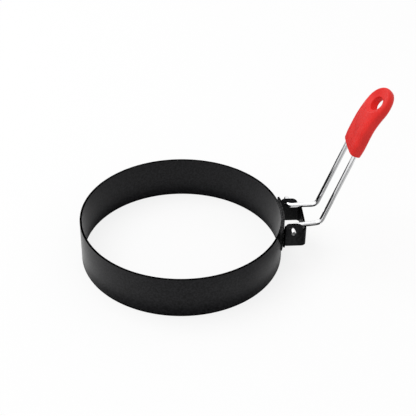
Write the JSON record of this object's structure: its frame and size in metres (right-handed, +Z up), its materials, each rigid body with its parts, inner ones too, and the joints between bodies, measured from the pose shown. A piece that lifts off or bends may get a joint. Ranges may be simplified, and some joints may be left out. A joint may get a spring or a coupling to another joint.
{
  "type": "egg ring",
  "caption": "Coated steel cooking ring with a folding wire handle hinged in a welded bracket and a red silicone grip with a hang hole.",
  "frame": {"origin": "centre of the bounding box, at the plane that the ring's lower edge stands on", "axes": "+Z up, +X from the ring towards the handle, +Y completes the right-handed frame"},
  "size_m": [0.1484, 0.1, 0.0898],
  "materials": {
    "black_coating": "black non-stick coating on thin steel, finely speckled, low sheen",
    "bright_wire": "bright plated steel wire",
    "red_silicone": "matt red silicone, finely grained"
  },
  "bodies": {
    "ring": {"ring_band": "black_coating", "saddle_plate": "black_coating", "hinge_bracket": "black_coating"},
    "handle": {"handle_wire": "bright_wire", "grip_sleeve": "red_silicone"}
  },
  "joints": [
    {"name": "handle_fold", "type": "hinge", "parent": "ring", "child": "handle", "pos_m": [0.02968, 0, 0.0199], "axis": [0, -1, 0], "range_deg": [0, 127]}
  ]
}
